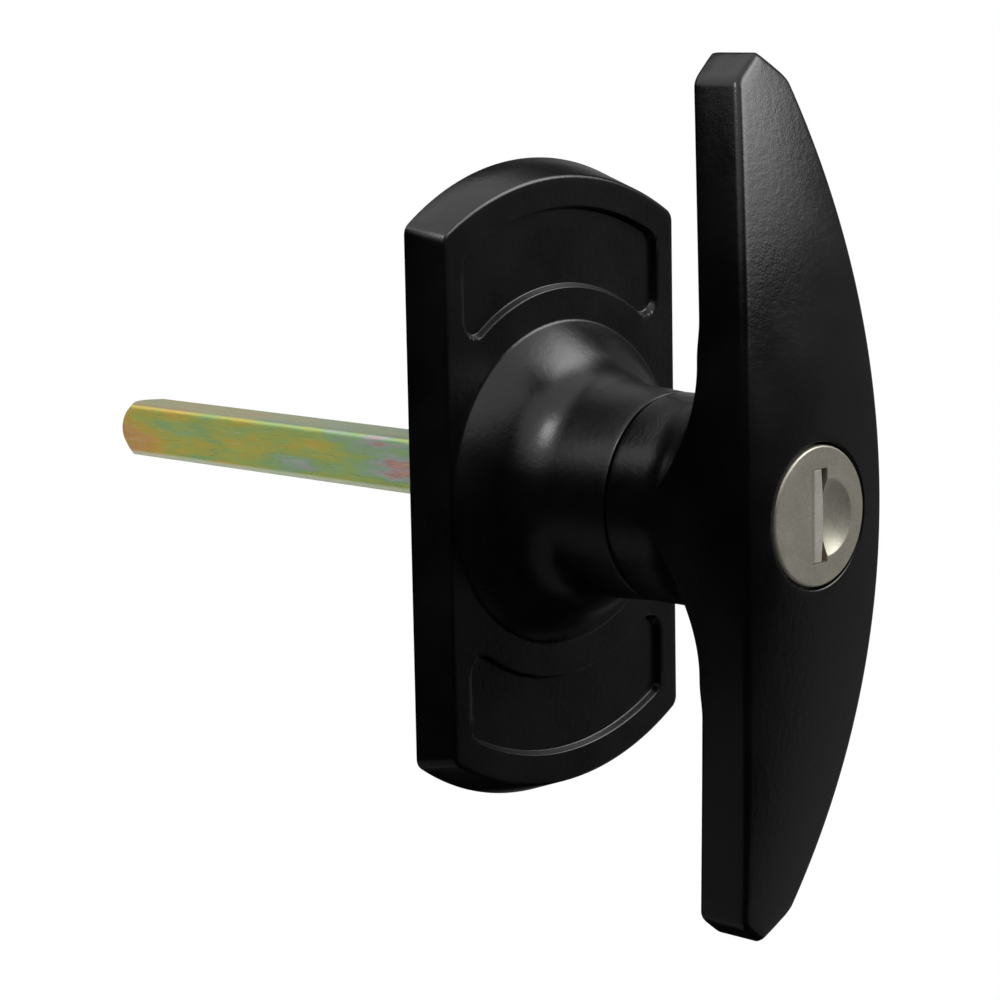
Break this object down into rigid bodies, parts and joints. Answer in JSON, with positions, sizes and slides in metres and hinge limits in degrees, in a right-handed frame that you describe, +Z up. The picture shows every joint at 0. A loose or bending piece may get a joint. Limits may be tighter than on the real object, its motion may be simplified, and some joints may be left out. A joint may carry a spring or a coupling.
{
  "type": "garage door lock",
  "caption": "Keyed T-handle lock for a garage door: domed escutcheon, turning bowed grip with lock cylinder and shutter, and a square spindle.",
  "frame": {"origin": "the door face on the lock axis, midway between the two threaded fixing bosses", "axes": "+Y along the lock axis into the door, along the spindle; the grip is on the -Y side; +Z up, along the grip as it is stored; +X to the right seen from outside"},
  "size_m": [0.048, 0.1341, 0.117],
  "materials": {
    "black_coat": "satin",
    "yellow_zinc": "satin",
    "satin_face": "satin",
    "brass": "satin",
    "zinc_alloy": "matte",
    "white_zinc": "satin",
    "spring_steel": "satin"
  },
  "bodies": {
    "lock_base": {"escutcheon": "black_coat"},
    "handle": {"grip": "black_coat", "spindle": "yellow_zinc", "spindle_pin": "spring_steel", "thrust_washer": "white_zinc", "wave_washer": "spring_steel", "retaining_ring": "spring_steel", "cylinder_shell": "zinc_alloy"},
    "plug": {"lock_plug": "brass", "face_cap": "satin_face", "plug_clip": "spring_steel", "crank_disc": "white_zinc", "shutter_pin": "spring_steel", "shutter_spring": "spring_steel", "wafer_spring_1": "spring_steel", "wafer_spring_2": "spring_steel", "wafer_spring_3": "spring_steel", "wafer_spring_4": "spring_steel", "wafer_spring_5": "spring_steel"},
    "shutter_flap": {"shutter": "satin_face"},
    "bolt": {"locking_bolt": "white_zinc"},
    "wafer_1_body": {"wafer_1": "brass"},
    "wafer_2_body": {"wafer_2": "brass"},
    "wafer_3_body": {"wafer_3": "brass"},
    "wafer_4_body": {"wafer_4": "brass"},
    "wafer_5_body": {"wafer_5": "brass"}
  },
  "joints": [
    {"name": "handle_turn", "type": "hinge", "parent": "lock_base", "child": "handle", "pos_m": [0, 0, 0], "axis": [0, 1, 0], "range_deg": [-90, 90]},
    {"name": "key_turn", "type": "hinge", "parent": "handle", "child": "plug", "pos_m": [0, -0.04, 0], "axis": [0, 1, 0], "range_deg": [0, 90]},
    {"name": "bolt_slide", "type": "slide", "parent": "handle", "child": "bolt", "axis": [1, 0, 0], "range_m": [0, 0.0018]},
    {"name": "shutter_swing", "type": "hinge", "parent": "plug", "child": "shutter_flap", "pos_m": [-0.0007, -0.04918, 0], "axis": [0, 0, 1], "range_deg": [0, 78], "stiffness_Nm_per_rad": 0.0004},
    {"name": "wafer_1_slide", "type": "slide", "parent": "plug", "child": "wafer_1_body", "axis": [0, 0, 1], "range_m": [0, 0.0007], "stiffness_N_per_m": 60, "deforming": ["wafer_spring_1"]},
    {"name": "wafer_2_slide", "type": "slide", "parent": "plug", "child": "wafer_2_body", "axis": [0, 0, 1], "range_m": [0, 0.0007], "stiffness_N_per_m": 60, "deforming": ["wafer_spring_2"]},
    {"name": "wafer_3_slide", "type": "slide", "parent": "plug", "child": "wafer_3_body", "axis": [0, 0, 1], "range_m": [0, 0.0007], "stiffness_N_per_m": 60, "deforming": ["wafer_spring_3"]},
    {"name": "wafer_4_slide", "type": "slide", "parent": "plug", "child": "wafer_4_body", "axis": [0, 0, 1], "range_m": [0, 0.0007], "stiffness_N_per_m": 60, "deforming": ["wafer_spring_4"]},
    {"name": "wafer_5_slide", "type": "slide", "parent": "plug", "child": "wafer_5_body", "axis": [0, 0, 1], "range_m": [0, 0.0007], "stiffness_N_per_m": 60, "deforming": ["wafer_spring_5"]}
  ],
  "couplings": [
    {"joint": "bolt_slide", "follows": "key_turn", "m_per_rad": 0.0011459}
  ]
}
